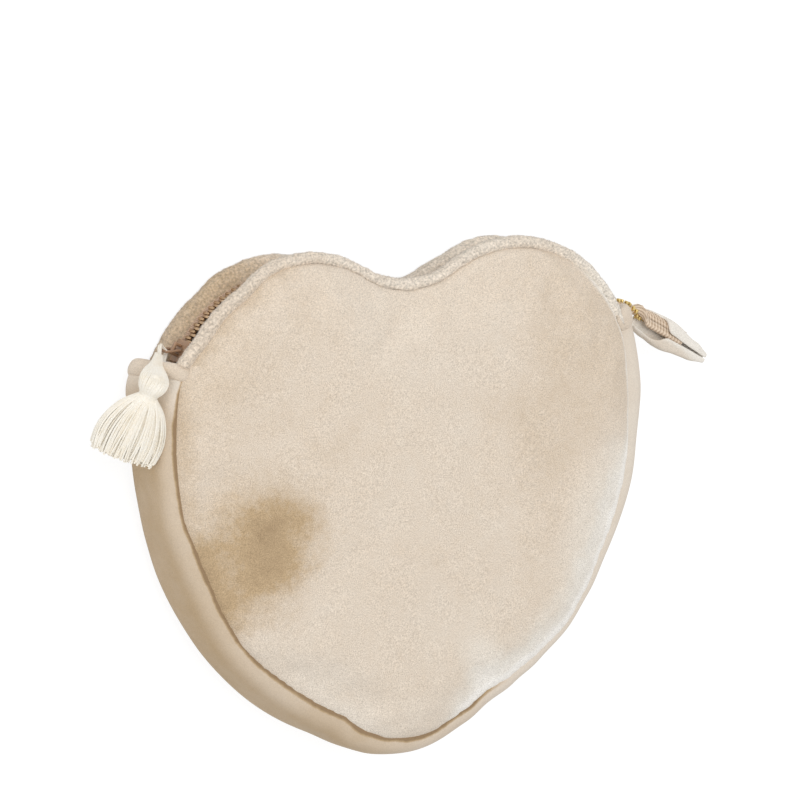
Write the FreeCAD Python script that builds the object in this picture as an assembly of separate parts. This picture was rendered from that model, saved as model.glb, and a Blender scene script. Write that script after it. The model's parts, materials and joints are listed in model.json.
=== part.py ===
import FreeCAD
import Part
import math
import os

# Heart shaped velvet zip purse, lying on its back with the zip closed. Millimetres and degrees.
# X runs across the heart, Y from its tip to its cleft, and Z from the back panel up to the front panel.
# The origin is on the back panel's outer face, in the middle of the heart.

# Heart outline along the seams: tangent arcs, given for the right half and mirrored
lobe_radius = 52.5
lobe_centre_x = 46.4
lobe_centre_y = 40.5
cleft_radius = 36.9
lobe_end_angle = 10.56
side_radius = 124.3
tip_radius = 48.5

# Pouch
seam_depth = 31.0
velvet = 1.4
wadding = 2.0
lining = 0.6
crown_height = 4.0
crown_width = 24.0
gusset_bulge = 4.0
shoulder_length = 8.2
binding_width = 6.0
binding_thickness = 0.6

# Lips along the mouth
lip_height = 4.5
lip_thickness = 3.4
lip_setback = 3.2
facing_thickness = 1.2

# Zip
chain_recess = 4.5
chain_height = 2.8
tape_thickness = 0.7
tooth_pitch = 2.8
tooth_thickness = 1.2
tooth_head_thickness = 1.0
tooth_reach = 2.9
tooth_mesh = 1.0
stop_length = 1.2
bartack_length = 0.8
bartack_height = 0.8
bartack_margin = 1.7
bartack_inset = 0.3

# Slider, measured from its middle
slider_inset = 7.1
slider_length = 8.4
slider_width = 9.2
slider_plate = 1.0
slider_clearance = 0.35
slider_flange = 1.2
slider_slot = 1.7
slider_post_length = 1.8
slider_post_width = 1.6
slider_teeth_lead = 1.2
bail_length = 4.4
bail_leg = 0.9
bail_width = 2.0
bail_opening = 2.2
bail_bridge = 0.8

# Pull ring
ring_wire = 1.0
ring_length = 5.6
ring_inner_width = 5.2
ring_turn = 28.0

# Tassel, from the pull's outer bar
loop_wire = 1.2
loop_play = 0.3
loop_strand_gap = 0.3
loop_heading = 219.3
loop_rise = 49.5
loop_to_head = 22.35
head_heading = 250.4
head_dip = 14.1
head_radius = 4.5
head_top = 6.0
head_bottom = 5.6
neck_radius = 3.0
neck_length = 2.0
neck_wrap = 0.5
skirt_length = 23.0
skirt_sections = [(0.0, 3.5, 3.3), (0.25, 8.0, 5.0), (0.7, 12.0, 5.6), (1.0, 11.5, 5.0)]
skirt_fan_slope = 12.0

# Zip tail
tail_root_inset = 6.2
tail_root_heading = 30.0
tail_root_reach = 4.75
tail_bend_radius = 16.0
tail_bend = 57.0
tail_length = 43.0
tail_leaf = 4.9
tail_leaf_thickness = 2.0
tail_joint_gap = 0.4
tail_tab_start = 7.0
tail_tab_sections = [(0.0, 5.0, 4.5), (0.3, 6.2, 4.8), (0.7, 5.2, 3.8), (1.0, 2.6, 2.2)]
tail_zip_end = 12.0
tail_play = 0.3
tail_stop_length = 1.8

# Values that follow from the sizes above
V = FreeCAD.Vector
UP = V(0, 0, 1)
middle = seam_depth / 2
cleft_centre_y = lobe_centre_y + math.sqrt((lobe_radius + cleft_radius) ** 2 - lobe_centre_x ** 2)
chain_radius = lobe_radius - chain_recess
side_reach = side_radius - lobe_radius
side_x = lobe_centre_x - side_reach * math.cos(math.radians(lobe_end_angle))
side_y = lobe_centre_y - side_reach * math.sin(math.radians(lobe_end_angle))
tip_centre_y = side_y - math.sqrt((side_radius - tip_radius) ** 2 - side_x ** 2)
cleft_meets_lobe = math.degrees(math.atan2(cleft_centre_y - lobe_centre_y, -lobe_centre_x))
side_meets_tip = math.degrees(math.atan2(tip_centre_y - side_y, -side_x))
mouth_angle = lobe_end_angle + math.degrees(shoulder_length / lobe_radius)

# Each arc: centre x, centre y, radius, start angle, end angle, and which way an outward offset moves it
LEFT_LOBE = (-lobe_centre_x, lobe_centre_y, lobe_radius)
RIGHT_LOBE = (lobe_centre_x, lobe_centre_y, lobe_radius)
MOUTH = [
    (*LEFT_LOBE, 180 - mouth_angle, 180 - cleft_meets_lobe, 1),
    (0, cleft_centre_y, cleft_radius, -cleft_meets_lobe, cleft_meets_lobe - 180, -1),
    (*RIGHT_LOBE, cleft_meets_lobe, mouth_angle, 1),
]
SIDES = [
    (*RIGHT_LOBE, mouth_angle, lobe_end_angle, 1),
    (side_x, side_y, side_radius, lobe_end_angle, side_meets_tip, 1),
    (0, tip_centre_y, tip_radius, side_meets_tip, -180 - side_meets_tip, 1),
    (-side_x, side_y, side_radius, -180 - side_meets_tip, -180 - lobe_end_angle, 1),
    (*LEFT_LOBE, -180 - lobe_end_angle, -180 - mouth_angle, 1),
]


def at(centre_x, centre_y, radius, angle, z):
    turn = math.radians(angle)
    return V(centre_x + radius * math.cos(turn), centre_y + radius * math.sin(turn), z)


def arc_edges(arcs, offset, z, back=False):
    edges = []
    for x, y, radius, start, end, side in arcs:
        r = radius + side * offset
        points = [at(x, y, r, a, z) for a in (start, (start + end) / 2, end)]
        if back:
            points.reverse()
        edges.append(Part.Arc(*points).toShape())
    if back:
        edges.reverse()
    return edges


def loop(offset, z):
    """The whole heart outline at height z, moved outwards by offset."""
    return Part.Wire(arc_edges(MOUTH + SIDES, offset, z))


def band(arcs, inner, outer, z):
    """Closed outline of a strip that runs along the arcs between two offsets."""
    out = arc_edges(arcs, outer, z)
    back = arc_edges(arcs, inner, z, back=True)
    first, last = arcs[0], arcs[-1]
    ends = []
    for arc, angle in ((last, last[4]), (first, first[3])):
        far = at(arc[0], arc[1], arc[2] + arc[5] * outer, angle, z)
        near = at(arc[0], arc[1], arc[2] + arc[5] * inner, angle, z)
        ends.append((far, near))
    close_end = Part.LineSegment(ends[0][0], ends[0][1]).toShape()
    close_start = Part.LineSegment(ends[1][1], ends[1][0]).toShape()
    return Part.Wire(out + [close_end] + back + [close_start])


def raised(wire, height):
    """The solid that a flat outline sweeps as it rises by height."""
    return Part.Face(wire).extrude(V(0, 0, height))


def strip(arcs, inner, outer, low, high):
    return raised(band(arcs, inner, outer, low), high - low)


def piece(arc, start, end):
    """A short run of one arc, from angle start to angle end."""
    return [(arc[0], arc[1], arc[2], start, end, 1)]


def save(shape, node):
    os.makedirs("parts", exist_ok=True)
    solids = shape.Solids
    for solid in solids:
        if solid.Volume < 0:
            solid.reverse()
    whole = solids[0] if len(solids) == 1 else Part.makeCompound(solids)
    whole.exportStep("parts/" + node + ".step")


# Panels: velvet outside, wadding inside it, lining innermost
CROWN = [(i / 3, 1 - (1 - i / 3) ** 2) for i in range(4)]


def crown_rise(inset):
    """Height of the front panel's crown above its seam, in straight runs between the crown's steps."""
    share = min(inset / crown_width, 1.0)
    for (a, low), (b, high) in zip(CROWN, CROWN[1:]):
        if share <= b:
            return crown_height * (low + (high - low) * (share - a) / (b - a))
    return crown_height


def crowned(inset, top, thickness):
    """A crowned heart layer whose upper face would be at height top at the seam."""
    insets = [inset] + [share * crown_width for share, _ in CROWN if share * crown_width > inset]
    faces = []
    for level in (top, top - thickness):
        rims = [loop(-i, level + crown_rise(i)) for i in insets]
        faces += Part.makeLoft(rims, False, True).Faces
        faces.append(Part.Face(rims[-1]))
    edge = [loop(-inset, level + crown_rise(inset)) for level in (top, top - thickness)]
    faces += Part.makeLoft(edge, False, True).Faces
    skin = Part.makeCompound(faces)
    skin.sewShape()
    return Part.Solid(Part.Shell(skin.Faces))


wadding_inset = velvet
lining_inset = velvet + wadding
wadding_depth = velvet
lining_depth = velvet + wadding
inside_depth = velvet + wadding + lining

save(crowned(0, seam_depth, velvet), "front_panel")
save(crowned(wadding_inset, seam_depth - wadding_depth, wadding), "front_wadding")
save(crowned(lining_inset, seam_depth - lining_depth, lining), "front_lining")
save(raised(loop(0, 0), velvet), "back_panel")
save(raised(loop(-wadding_inset, wadding_depth), wadding), "back_wadding")
save(raised(loop(-lining_inset, lining_depth), lining), "back_lining")

# Gusset: the same three layers round the sides and tip, bulging between the seams
BULGE = [0.0, 0.05, 0.13, 0.27, 0.5, 0.73, 0.87, 0.95, 1.0]
gusset_width = seam_depth - 2 * velvet


def puff(share):
    """Share of the gusset's bulge between the seams: steep at the seams, nearly flat between them."""
    return math.sqrt(1 - (2 * share - 1) ** 4)


def bulge(z):
    """How far the gusset stands out at height z, in straight runs between its steps."""
    share = (z - velvet) / gusset_width
    for a, b in zip(BULGE, BULGE[1:]):
        if share <= b:
            return gusset_bulge * (puff(a) + (puff(b) - puff(a)) * (share - a) / (b - a))
    return 0.0


def gusset_layer(arcs, inner, outer, margin):
    low, high = margin, seam_depth - margin
    steps = [velvet + share * gusset_width for share in BULGE[1:-1]]
    heights = [low] + [z for z in steps if low < z < high] + [high]
    rims = [band(arcs, bulge(z) + inner, bulge(z) + outer, z) for z in heights]
    return Part.makeLoft(rims, True, True)


save(gusset_layer(SIDES, -velvet, 0, velvet), "gusset")
save(gusset_layer(SIDES, -lining_inset, -velvet, lining_depth), "gusset_wadding")
save(gusset_layer(SIDES, -lining_inset - lining, -lining_inset, inside_depth), "gusset_lining")

binding_turn = math.degrees(binding_width / lobe_radius)
for node, arc, start, turn in (
    ("right_gusset_binding", RIGHT_LOBE, mouth_angle, -1),
    ("left_gusset_binding", LEFT_LOBE, 180 - mouth_angle, 1),
):
    run = piece(arc, start, start + turn * binding_turn)
    save(gusset_layer(run, 0, binding_thickness, velvet), node)

# Lips: a folded band set in from the panel, a root that joins it to the panel's edge, and a facing
tape_outer = tape_thickness / 2 - chain_recess
tape_inner = -tape_thickness / 2 - chain_recess
front_lip_top = seam_depth - lip_setback
front_lip_low = front_lip_top - lip_thickness
back_lip_high = lip_setback + lip_thickness
front_facing_low = front_lip_low - facing_thickness
back_facing_high = back_lip_high + facing_thickness


def lip(band_low, facing_low, root_low, root_high):
    folded = strip(MOUTH, -velvet, lip_height, band_low, band_low + lip_thickness)
    facing = strip(MOUTH, tape_outer, lip_height, facing_low, facing_low + facing_thickness)
    root = strip(MOUTH, -velvet, 0, root_low, root_high)
    return folded.multiFuse([facing, root]).removeSplitter()


save(lip(front_lip_low, front_facing_low, front_lip_top, seam_depth - velvet), "front_lip")
save(lip(lip_setback, back_lip_high, velvet, lip_setback), "back_lip")

# Zip tapes, from the teeth to the lining
tooth_outer_end = middle + tooth_reach
front_tape_top = seam_depth - inside_depth + crown_rise(-tape_outer)
save(strip(MOUTH, tape_inner, tape_outer, tooth_outer_end, front_tape_top), "front_zip_tape")
save(strip(MOUTH, tape_inner, tape_outer, inside_depth, middle - tooth_reach), "back_zip_tape")


# Zip teeth: placed along the chain's line, the back row half a pitch behind the front row
def tooth(row):
    """One tooth at the origin: X along the chain, Y out of the purse, Z across. row is 1 or -1."""
    wide = tooth_thickness / 2
    narrow = tooth_head_thickness / 2
    outline = [(-wide, tooth_reach), (wide, tooth_reach), (wide, tooth_mesh), (narrow, -tooth_mesh)]
    outline += [(-narrow, -tooth_mesh), (-wide, tooth_mesh)]
    corners = [V(x, -chain_height / 2, row * z) for x, z in outline]
    return Part.Face(Part.makePolygon(corners + corners[:1])).extrude(V(0, chain_height, 0))


def along(arcs, offset, distance):
    """Point on the arcs at a distance from their start, with the angle that points out of the purse."""
    for x, y, radius, start, end, side in arcs:
        r = radius + side * offset
        length = math.radians(abs(end - start)) * r
        if distance <= length:
            angle = start + (end - start) * distance / length
            return at(x, y, r, angle, middle), angle if side > 0 else angle + 180
        distance -= length
    return None


def place(shape, point, outward):
    placed = shape.copy()
    placed.Placement = FreeCAD.Placement(point, FreeCAD.Rotation(UP, outward - 90)) * shape.Placement
    return placed


slider_angle = 180 - mouth_angle - math.degrees(slider_inset / chain_radius)
slider_half_turn = math.degrees(slider_length / 2 / chain_radius)
teeth_start_angle = slider_angle + math.degrees(slider_teeth_lead / chain_radius)
tail_width = tail_leaf + chain_height
tail_root_turn = math.degrees(tail_width / chain_radius)
tail_root_angle = mouth_angle + math.degrees(tail_root_inset / lobe_radius)
teeth_end_angle = tail_root_angle + tail_root_turn
CHAIN = [
    (*LEFT_LOBE, teeth_start_angle, 180 - cleft_meets_lobe, 1),
    MOUTH[1],
    (*RIGHT_LOBE, cleft_meets_lobe, teeth_end_angle, 1),
]
for node, row in (("front_zip_teeth", 1), ("back_zip_teeth", -1)):
    teeth = []
    one = tooth(row)
    travelled = 0.0 if row > 0 else tooth_pitch / 2
    while along(CHAIN, -chain_recess, travelled):
        point, outward = along(CHAIN, -chain_recess, travelled)
        teeth.append(place(one, point, outward))
        travelled += tooth_pitch
    save(Part.makeCompound(teeth), node)

# Top stops and bartacks at the ends of the zip
bartack_turn = math.degrees(bartack_length / chain_radius)
bartack_inset_turn = math.degrees(bartack_inset / chain_radius)
left_end = 180 - mouth_angle
for node, arc, end, turn in (
    ("left_bartack", LEFT_LOBE, left_end, -1),
    ("right_bartack", RIGHT_LOBE, mouth_angle, 1),
):
    start = end + turn * bartack_inset_turn
    run = piece(arc, start, start + turn * bartack_turn)
    low = back_facing_high + bartack_margin
    high = front_facing_low - bartack_margin
    save(strip(run, tape_outer, tape_outer + bartack_height, low, high), node)

stop_start = slider_angle + slider_half_turn + math.degrees(slider_clearance / chain_radius)
stop_run = piece(LEFT_LOBE, stop_start, stop_start + math.degrees(stop_length / chain_radius))
chain_low = -chain_recess - chain_height / 2
chain_high = -chain_recess + chain_height / 2
stops = [
    strip(stop_run, chain_low, chain_high, middle + tooth_mesh, tooth_outer_end),
    strip(stop_run, chain_low, chain_high, middle - tooth_reach, middle - tooth_mesh),
]
save(Part.makeCompound(stops), "zip_top_stops")


# Slider: two plates with flanges round the chain, joined by the post that parts the rows
def slider_block(low_offset, high_offset, low, high, from_length, to_length):
    a = slider_angle + math.degrees(from_length / chain_radius)
    b = slider_angle + math.degrees(to_length / chain_radius)
    return strip(piece(LEFT_LOBE, a, b), low_offset, high_offset, middle + low, middle + high)


half_length = slider_length / 2
half_width = slider_width / 2
channel_low = chain_low - slider_clearance
channel_high = chain_high + slider_clearance
slider_top = channel_high + slider_plate
slot_low = -chain_recess - slider_slot / 2
slot_high = -chain_recess + slider_slot / 2
body = slider_block(channel_high, slider_top, -half_width, half_width, -half_length, half_length)
lower = slider_block(channel_low - slider_plate, channel_low, -half_width, half_width, -half_length, half_length)
post_start = half_length - slider_post_length
half_post = slider_post_width / 2
more = [lower, slider_block(channel_low, channel_high, -half_post, half_post, post_start, half_length)]
for side in (-1, 1):
    low, high = sorted((side * half_width, side * (half_width - slider_flange)))
    more.append(slider_block(slot_high, channel_high, low, high, -half_length, half_length))
    more.append(slider_block(channel_low, slot_low, low, high, -half_length, half_length))
save(body.multiFuse(more).removeSplitter(), "slider_body")

half_bail = bail_length / 2
half_bail_width = bail_width / 2
bridge_low = slider_top + bail_opening
bail = slider_block(bridge_low, bridge_low + bail_bridge, -half_bail_width, half_bail_width, -half_bail, half_bail)
legs = []
for end in (-half_bail, half_bail - bail_leg):
    legs.append(slider_block(slider_top, bridge_low, -half_bail_width, half_bail_width, end, end + bail_leg))
save(bail.multiFuse(legs).removeSplitter(), "slider_bail")

# Pull ring: its inner bar lies in the bail, its outer bar carries the tassel
bar_offset = slider_top + bail_opening / 2
inner_bar = at(*LEFT_LOBE[:2], lobe_radius + bar_offset, slider_angle, middle)
ring_angle = slider_angle + ring_turn


def heading(angle, rise=0.0):
    a, r = math.radians(angle), math.radians(rise)
    return V(math.cos(a) * math.cos(r), math.sin(a) * math.cos(r), math.sin(r))


outer_bar = inner_bar + heading(ring_angle) * ring_length
ring_half = (ring_inner_width + ring_wire) / 2
corners = [inner_bar - UP * ring_half, outer_bar - UP * ring_half]
corners += [outer_bar + UP * ring_half, inner_bar + UP * ring_half]
wires = []
for a, b in zip(corners, corners[1:] + corners[:1]):
    wires.append(Part.makeCylinder(ring_wire / 2, (b - a).Length, a, b - a))
    wires.append(Part.makeSphere(ring_wire / 2, a))
save(wires[0].multiFuse(wires[1:]).removeSplitter(), "pull_ring")

# Tassel
loop_dir = heading(loop_heading, loop_rise)
loop_side = UP.cross(loop_dir).normalize()
loop_radius = (ring_wire / 2 + loop_wire / 2 + loop_play) / math.cos(math.radians(loop_rise))
head_middle = outer_bar + loop_dir * loop_to_head
head_dir = heading(head_heading, -head_dip)
strand_length = loop_to_head - head_radius / 2
strand_half = (loop_wire + loop_strand_gap) / 2
strand_reach = math.hypot(strand_length, strand_half)
strand_lean = math.asin(loop_radius / strand_reach) - math.atan2(strand_half, strand_length)


def loop_ends(side):
    """Where one strand of the loop leaves the pull's bar, and where it ends in the head. side is 1 or -1."""
    leaves = loop_side * (side * math.cos(strand_lean)) + loop_dir * math.sin(strand_lean)
    ends = loop_dir * strand_length + loop_side * (side * strand_half)
    return outer_bar + leaves * loop_radius, outer_bar + ends


left, left_end = loop_ends(1)
right, right_end = loop_ends(-1)
path = Part.Wire([
    Part.LineSegment(left_end, left).toShape(),
    Part.Arc(left, outer_bar - loop_dir * loop_radius, right).toShape(),
    Part.LineSegment(right, right_end).toShape(),
])
section = Part.Wire(Part.makeCircle(loop_wire / 2, left_end, left - left_end))
tassel_loop = path.makePipeShell([section], True, False)
save(tassel_loop, "tassel_loop")

fan = heading(head_heading + 90)
slope = math.radians(skirt_fan_slope)
wide_dir = fan * math.cos(slope) + head_dir.cross(fan) * math.sin(slope)
thin_dir = head_dir.cross(wide_dir).normalize()


def lathe(points, start):
    """Turn an outline of (radius, distance) points about the tassel's own line."""
    spots = [start + wide_dir * r + head_dir * d for r, d in points]
    curve = Part.Arc(*spots[1:4]).toShape()
    rest = [Part.LineSegment(a, b).toShape() for a, b in ((spots[3], spots[4]), (spots[4], spots[1]))]
    return Part.Face(Part.Wire([curve] + rest)).revolve(spots[0], head_dir, 360)


head_points = [(0, 0), (0, -head_top), (head_radius, 0), (neck_radius, head_bottom), (0, head_bottom)]
head = lathe(head_points, head_middle)
save(head.cut(tassel_loop), "tassel_head")

neck_start = head_middle + head_dir * head_bottom
save(Part.makeCylinder(neck_radius + neck_wrap, neck_length, neck_start, head_dir), "tassel_binding")

skirt_start = neck_start + head_dir * neck_length
rims = []
for share, wide, thin in skirt_sections:
    middle_point = skirt_start + head_dir * (share * skirt_length)
    oval = Part.Ellipse(middle_point + wide_dir * wide, middle_point + thin_dir * thin, middle_point)
    rims.append(Part.Wire(oval.toShape()))
save(Part.makeLoft(rims, True, False), "tassel_skirt")

# Zip tail: the zip folded along its teeth, coming out over the right binding
root_spot = at(*RIGHT_LOBE[:2], lobe_radius, tail_root_angle, middle)
root_dir = heading(tail_root_heading)
root_up = heading(tail_root_heading + 90)
tail_start = root_spot - root_dir * tail_root_reach
bend_start = root_spot
bend_centre = bend_start - root_up * tail_bend_radius
tail_heading = tail_root_heading - tail_bend
tail_dir = heading(tail_heading)
tail_up = heading(tail_heading + 90)
pivot = bend_centre + tail_up * tail_bend_radius
teeth_low = chain_height / 2
leaf_low = teeth_low - tail_leaf
leaf_high = teeth_low
half_leaf = tail_leaf_thickness / 2


def tail_root_run(low, high, half):
    """A flat run along the tail's root, between two distances from its line."""
    a = [tail_start + root_up * d for d in (low, high)]
    b = [bend_start + root_up * d for d in (low, high)]
    turned = math.radians(tail_root_heading + 90 - tail_bend / 2)
    half_way = V(math.cos(turned), math.sin(turned), 0)
    m = [bend_centre + half_way * (tail_bend_radius + d) for d in (low, high)]
    e = [pivot + tail_up * d for d in (low, high)]
    edges = [
        Part.LineSegment(a[0], a[1]).toShape(),
        Part.LineSegment(a[1], b[1]).toShape(),
        Part.Arc(b[1], m[1], e[1]).toShape(),
        Part.LineSegment(e[1], e[0]).toShape(),
        Part.Arc(e[0], m[0], b[0]).toShape(),
        Part.LineSegment(b[0], a[0]).toShape(),
    ]
    return Part.Face(Part.Wire(edges)).extrude(UP * (2 * half)).translated(UP * -half)


def tail_run(start, end, low, high, half):
    """A flat straight run of the moving tail, measured from its hinge."""
    a, b = pivot + tail_dir * start, pivot + tail_dir * end
    corners = [a + tail_up * low, a + tail_up * high, b + tail_up * high, b + tail_up * low]
    face = Part.Face(Part.makePolygon(corners + corners[:1]))
    return face.extrude(UP * (2 * half)).translated(UP * -half)


round_reach = max(abs(leaf_low), teeth_low + chain_height)
socket = Part.makeCylinder(round_reach + tail_joint_gap, slider_width * 2, pivot - UP * slider_width)
root_tape = tail_root_run(leaf_low, leaf_high, half_leaf).cut(socket)
save(root_tape, "tail_root_tape")


def tail_tooth(row, point, up):
    return place(tooth(row), point + up * (teeth_low + chain_height / 2), math.degrees(math.atan2(up.y, up.x)))


def root_point(distance):
    """Point and up direction on the tail root's line."""
    if distance <= tail_root_reach:
        return tail_start + root_dir * distance, root_up
    turned = tail_root_heading + 90 - math.degrees((distance - tail_root_reach) / tail_bend_radius)
    up = heading(turned)
    return bend_centre + up * tail_bend_radius, up


root_length = tail_root_reach + math.radians(tail_bend) * tail_bend_radius
root_teeth = []
row = 1
travelled = tooth_pitch / 2
while travelled < root_length - round_reach - tail_joint_gap - tooth_thickness:
    point, up = root_point(travelled)
    root_teeth.append(tail_tooth(row, point, up))
    row = -row
    travelled += tooth_pitch / 2
save(Part.makeCompound(root_teeth), "tail_root_teeth")

zip_end = tail_length - tail_zip_end
leaf = tail_run(0, zip_end, leaf_low, leaf_high, half_leaf)
round_end = Part.makeCylinder(round_reach, tail_leaf_thickness, pivot - UP * half_leaf)
slab = tail_run(-round_reach, round_reach, leaf_low, leaf_high, half_leaf)
save(leaf.fuse(round_end.common(slab)).removeSplitter(), "tail_tape")

stop_from = zip_end - tail_stop_length
tail_teeth = []
row = 1
travelled = tooth_thickness
while travelled + tooth_thickness < stop_from:
    tail_teeth.append(tail_tooth(row, pivot + tail_dir * travelled, tail_up))
    row = -row
    travelled += tooth_pitch / 2
save(Part.makeCompound(tail_teeth), "tail_teeth")
save(tail_run(stop_from, zip_end, teeth_low, teeth_low + chain_height, tooth_reach), "tail_bottom_stop")

# Velvet tab: a folded leaf round the end of the tail, open along the teeth
tab_middle = (leaf_low + teeth_low + chain_height) / 2
tab_start = pivot + tail_dir * tail_tab_start + tail_up * tab_middle
tab_length = tail_length - tail_tab_start
rims = []
for share, wide, thick in tail_tab_sections:
    spot = tab_start + tail_dir * (share * tab_length)
    rims.append(Part.Wire(Part.Ellipse(spot + tail_up * wide, spot + UP * thick, spot).toShape()))
tab = Part.makeLoft(rims, True, False)
open_edge = 2 * tail_width
slots = [
    tail_run(0, zip_end, leaf_low, open_edge, half_leaf + tail_play),
    tail_run(0, zip_end, teeth_low, open_edge, tooth_reach + tail_play),
]
save(tab.cut(slots[0]).cut(slots[1]), "tail_tab")

print("mouth angle", round(mouth_angle, 2), "slider angle", round(slider_angle, 2))
print("lobe hinge", -lobe_centre_x, lobe_centre_y, middle)
print("pull hinge", inner_bar)
print("tassel hinge", outer_bar)
print("tail hinge", pivot)
print("cleft meets lobe", round(cleft_meets_lobe, 2), "side centre", round(side_x, 2), round(side_y, 2))
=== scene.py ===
import json
import random
from math import atan2, copysign, cos, pi, radians, sin, sqrt, tan, tau

import bmesh
import bpy
from mathutils import Matrix, Vector, noise


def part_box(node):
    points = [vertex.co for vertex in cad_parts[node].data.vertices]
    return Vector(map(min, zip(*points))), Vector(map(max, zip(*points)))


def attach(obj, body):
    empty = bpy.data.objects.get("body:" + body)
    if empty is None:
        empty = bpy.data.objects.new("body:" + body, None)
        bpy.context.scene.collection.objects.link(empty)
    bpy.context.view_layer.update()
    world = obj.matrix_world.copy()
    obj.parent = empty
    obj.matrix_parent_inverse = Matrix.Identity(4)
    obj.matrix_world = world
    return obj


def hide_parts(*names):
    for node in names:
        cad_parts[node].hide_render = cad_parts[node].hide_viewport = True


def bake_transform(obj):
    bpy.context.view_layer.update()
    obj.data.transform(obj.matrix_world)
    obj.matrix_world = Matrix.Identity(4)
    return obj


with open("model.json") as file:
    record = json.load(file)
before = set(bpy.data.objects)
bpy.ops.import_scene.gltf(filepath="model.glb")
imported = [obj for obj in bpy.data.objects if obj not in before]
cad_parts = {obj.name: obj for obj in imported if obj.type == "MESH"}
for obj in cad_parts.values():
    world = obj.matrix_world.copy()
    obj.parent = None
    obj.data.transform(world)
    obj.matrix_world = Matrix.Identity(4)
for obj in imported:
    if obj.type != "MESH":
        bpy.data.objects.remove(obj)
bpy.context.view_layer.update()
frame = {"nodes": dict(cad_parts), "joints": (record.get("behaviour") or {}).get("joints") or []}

# Back panel: a heart cut from velvet and backed with thin wadding, which the purse rests on.
# Its outline is a run of tangent arcs, and its edge rolls up into the seam that joins it to the gusset.
MM = 0.001
seam_depth = 31 * MM
lobe_radius = 52.5 * MM
lobe_x = 46.4 * MM
lobe_y = 40.5 * MM
cleft_radius = 36.9 * MM
side_radius = 124.3 * MM
tip_radius = 48.5 * MM
lobe_end = radians(10.56)
shoulder_run = 8.2 * MM
mouth_end = lobe_end + shoulder_run / lobe_radius
cleft_y = lobe_y + sqrt((lobe_radius + cleft_radius) ** 2 - lobe_x ** 2)
side_x = lobe_x - (side_radius - lobe_radius) * cos(lobe_end)
side_y = lobe_y - (side_radius - lobe_radius) * sin(lobe_end)
tip_y = side_y - sqrt((side_radius - tip_radius) ** 2 - side_x ** 2)
cleft_meets = atan2(cleft_y - lobe_y, -lobe_x)
tip_meets = atan2(tip_y - side_y, -side_x)

# Each arc: centre x and y, radius, start angle, end angle, and 1 where its centre is inside the heart
mouth_arcs = [
    (-lobe_x, lobe_y, lobe_radius, pi - mouth_end, pi - cleft_meets, 1),
    (0, cleft_y, cleft_radius, -cleft_meets, cleft_meets - pi, -1),
    (lobe_x, lobe_y, lobe_radius, cleft_meets, mouth_end, 1),
]
side_arcs = [
    (lobe_x, lobe_y, lobe_radius, mouth_end, lobe_end, 1),
    (side_x, side_y, side_radius, lobe_end, tip_meets, 1),
    (0, tip_y, tip_radius, tip_meets, -pi - tip_meets, 1),
    (-side_x, side_y, side_radius, -pi - tip_meets, -pi - lobe_end, 1),
    (-lobe_x, lobe_y, lobe_radius, -pi - lobe_end, -pi - mouth_end, 1),
]


def length_of(arcs):
    return sum(abs(end - start) * radius for _, _, radius, start, end, _ in arcs)


mouth_length = length_of(mouth_arcs)
side_length = length_of(side_arcs)


# Each arc is taken a little past its ends, so that no place falls between two arcs
arc_slack = 0.01


def on_seam(x, y):
    """The nearest place on the heart's outline: its run from the mouth's left end, how far x, y lies
    outside it, and the way out."""
    best_run, best_out, best_way = 0.0, -1.0, Vector((0, 1, 0))
    run = 0.0
    for centre_x, centre_y, radius, start, end, side in mouth_arcs + side_arcs:
        away = Vector((x - centre_x, y - centre_y, 0))
        sweep_way = 1 if end > start else -1
        turned = (atan2(away.y, away.x) - start) * sweep_way
        turned = (turned + arc_slack) % tau - arc_slack
        if turned <= abs(end - start) + arc_slack:
            out = side * (away.length - radius)
            if abs(out) < abs(best_out):
                best_run, best_out = run + turned * radius, out
                best_way = away.normalized() * side
        run += abs(end - start) * radius
    return best_run, best_out, best_way


def ease(share):
    """Goes from 0 to 1 smoothly, and stays there."""
    share = min(max(share, 0.0), 1.0)
    return share * share * (3 - 2 * share)


def between(rows, place):
    """A table's values at a place, eased from row to row. Each row is its place, then its values."""
    for (low, *first), (high, *second) in zip(rows, rows[1:]):
        if place <= high:
            share = ease((place - low) / (high - low))
            return [a + (b - a) * share for a, b in zip(first, second)]
    return rows[-1][1:]


def sweep(bm, outline, arcs, step):
    """Carry an outline that stands at the start of the first arc along all the arcs."""
    for x, y, radius, start, end, _ in arcs:
        count = max(2, round(abs(end - start) * radius / step))
        turned = bmesh.ops.spin(
            bm, geom=outline, cent=(x, y, 0), axis=(0, 0, 1), angle=end - start, steps=count
        )
        outline = turned["geom_last"]
    return outline


def arc_start(arcs, out, z):
    """Where the first of the arcs starts, moved out and up."""
    x, y, radius, start = arcs[0][:4]
    return Vector((x + (radius + out) * cos(start), y + (radius + out) * sin(start), z))


seam_step = 1.5 * MM
edge_rings = [0.5 * MM, 0.6 * MM, 0.8 * MM, 1.1 * MM, 1.5 * MM, 2.0 * MM, 2.5 * MM, 3.0 * MM]
cloth_cell = 3 * MM
heart_reach = 100 * MM


def face_out(bm):
    bmesh.ops.recalc_face_normals(bm, faces=bm.faces)


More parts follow.
